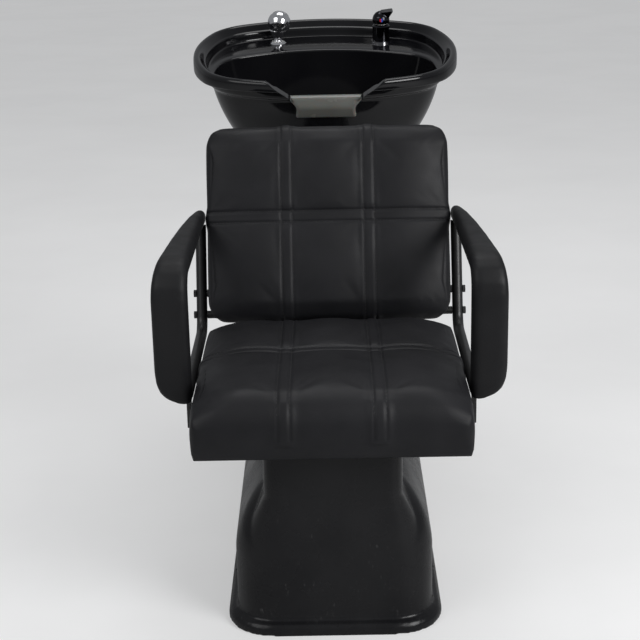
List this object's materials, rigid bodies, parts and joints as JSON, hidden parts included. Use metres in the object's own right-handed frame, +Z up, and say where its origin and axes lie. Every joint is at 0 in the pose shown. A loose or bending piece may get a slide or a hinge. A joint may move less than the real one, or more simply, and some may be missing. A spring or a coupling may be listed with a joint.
{
  "type": "shampoo sink with chair",
  "caption": "Salon backwash unit: padded chair on a moulded pedestal base with a tilting black shampoo bowl, neck rest, mixer tap and pull-out hand spray.",
  "frame": {"origin": "on the floor at the centre of the four floor bolt holes", "axes": "+Z up, +Y from the sitter's knees towards the bowl, +X to the right seen from the front"},
  "size_m": [0.642, 1.252, 1.0209],
  "materials": {
    "base_plastic": "satin black moulding, finely scratched",
    "zinc_steel": "zinc plated",
    "frame_steel": "black powder coat",
    "covered_board": "plywood covered in black artificial leather",
    "black_leather": "matt black artificial leather",
    "arm_foam": "fine-grained black self-skinning foam",
    "bowl_plastic": "polished black",
    "silicone": "satin grey gel",
    "chrome": "polished",
    "dark_chrome": "polished black chrome",
    "rubber": "matt",
    "white_plastic": "moulded",
    "brass": "machined",
    "nozzle_plastic": "moulded",
    "red_mark": "enamel",
    "blue_mark": "enamel"
  },
  "bodies": {
    "chair": {"base_shell": "base_plastic", "rear_access_cover": "base_plastic", "cover_screws": "zinc_steel", "seat_frame": "frame_steel", "bowl_post": "frame_steel", "seat_plate": "frame_steel", "seat_plate_bolts": "zinc_steel", "seat_angle_left": "frame_steel", "seat_angle_right": "frame_steel", "seat_angle_bolts": "zinc_steel", "seat_board": "covered_board", "seat_board_screws": "zinc_steel", "seat_cushion": "black_leather", "back_cushion": "black_leather", "back_board": "covered_board", "arm_pad_left": "arm_foam", "arm_pad_right": "arm_foam", "arm_frame_left": "frame_steel", "arm_frame_right": "frame_steel", "back_bolts": "frame_steel", "back_spacers": "frame_steel", "bowl_bracket": "frame_steel", "hinge_bushes": "brass", "bracket_bolts": "zinc_steel"},
    "bowl_unit": {"bowl": "bowl_plastic", "neck_rest": "silicone", "drain_flange": "chrome", "drain_gasket": "rubber", "drain_nut": "white_plastic", "drain_tail": "white_plastic", "bowl_yoke": "frame_steel", "yoke_bolts": "zinc_steel", "hinge_pin": "zinc_steel", "mixer_ring": "chrome", "mixer_body": "dark_chrome", "mixer_nut": "brass", "mixer_inlets": "brass", "spray_ring": "chrome", "spray_guide": "white_plastic", "spray_guide_nut": "white_plastic"},
    "mixer_turn": {"mixer_cartridge": "white_plastic"},
    "mixer_cap": {"mixer_lever": "dark_chrome", "hot_mark": "red_mark", "cold_mark": "blue_mark"},
    "hand_spray": {"spray_head": "chrome", "spray_face": "nozzle_plastic"},
    "strainer": {"hair_strainer": "chrome"},
    "lock_knob": {"tilt_knob": "rubber"}
  },
  "joints": [
    {"name": "bowl_tilt", "type": "hinge", "parent": "chair", "child": "bowl_unit", "pos_m": [0, 0.39132, 0.65657], "axis": [1, 0, 0], "range_deg": [-16, 1.8]},
    {"name": "mixer_swivel", "type": "hinge", "parent": "bowl_unit", "child": "mixer_turn", "pos_m": [0.132, 0.59236, 0.94419], "axis": [0, -0.1426, 0.9898], "range_deg": [-45, 45]},
    {"name": "mixer_lift", "type": "hinge", "parent": "mixer_turn", "child": "mixer_cap", "pos_m": [0.132, 0.58558, 0.9912], "axis": [0, -0.9898, -0.1426], "range_deg": [0, 10]},
    {"name": "spray_pull", "type": "slide", "parent": "bowl_unit", "child": "hand_spray", "axis": [0, -0.1426, 0.9898], "range_m": [0, 0.15]},
    {"name": "strainer_lift", "type": "slide", "parent": "bowl_unit", "child": "strainer", "axis": [0, -0.1426, 0.9898], "range_m": [0, 0.08]},
    {"name": "lock_turn", "type": "hinge", "parent": "bowl_unit", "child": "lock_knob", "pos_m": [0.056, 0.39132, 0.65657], "axis": [1, 0, 0], "range_deg": [0, 180]}
  ]
}
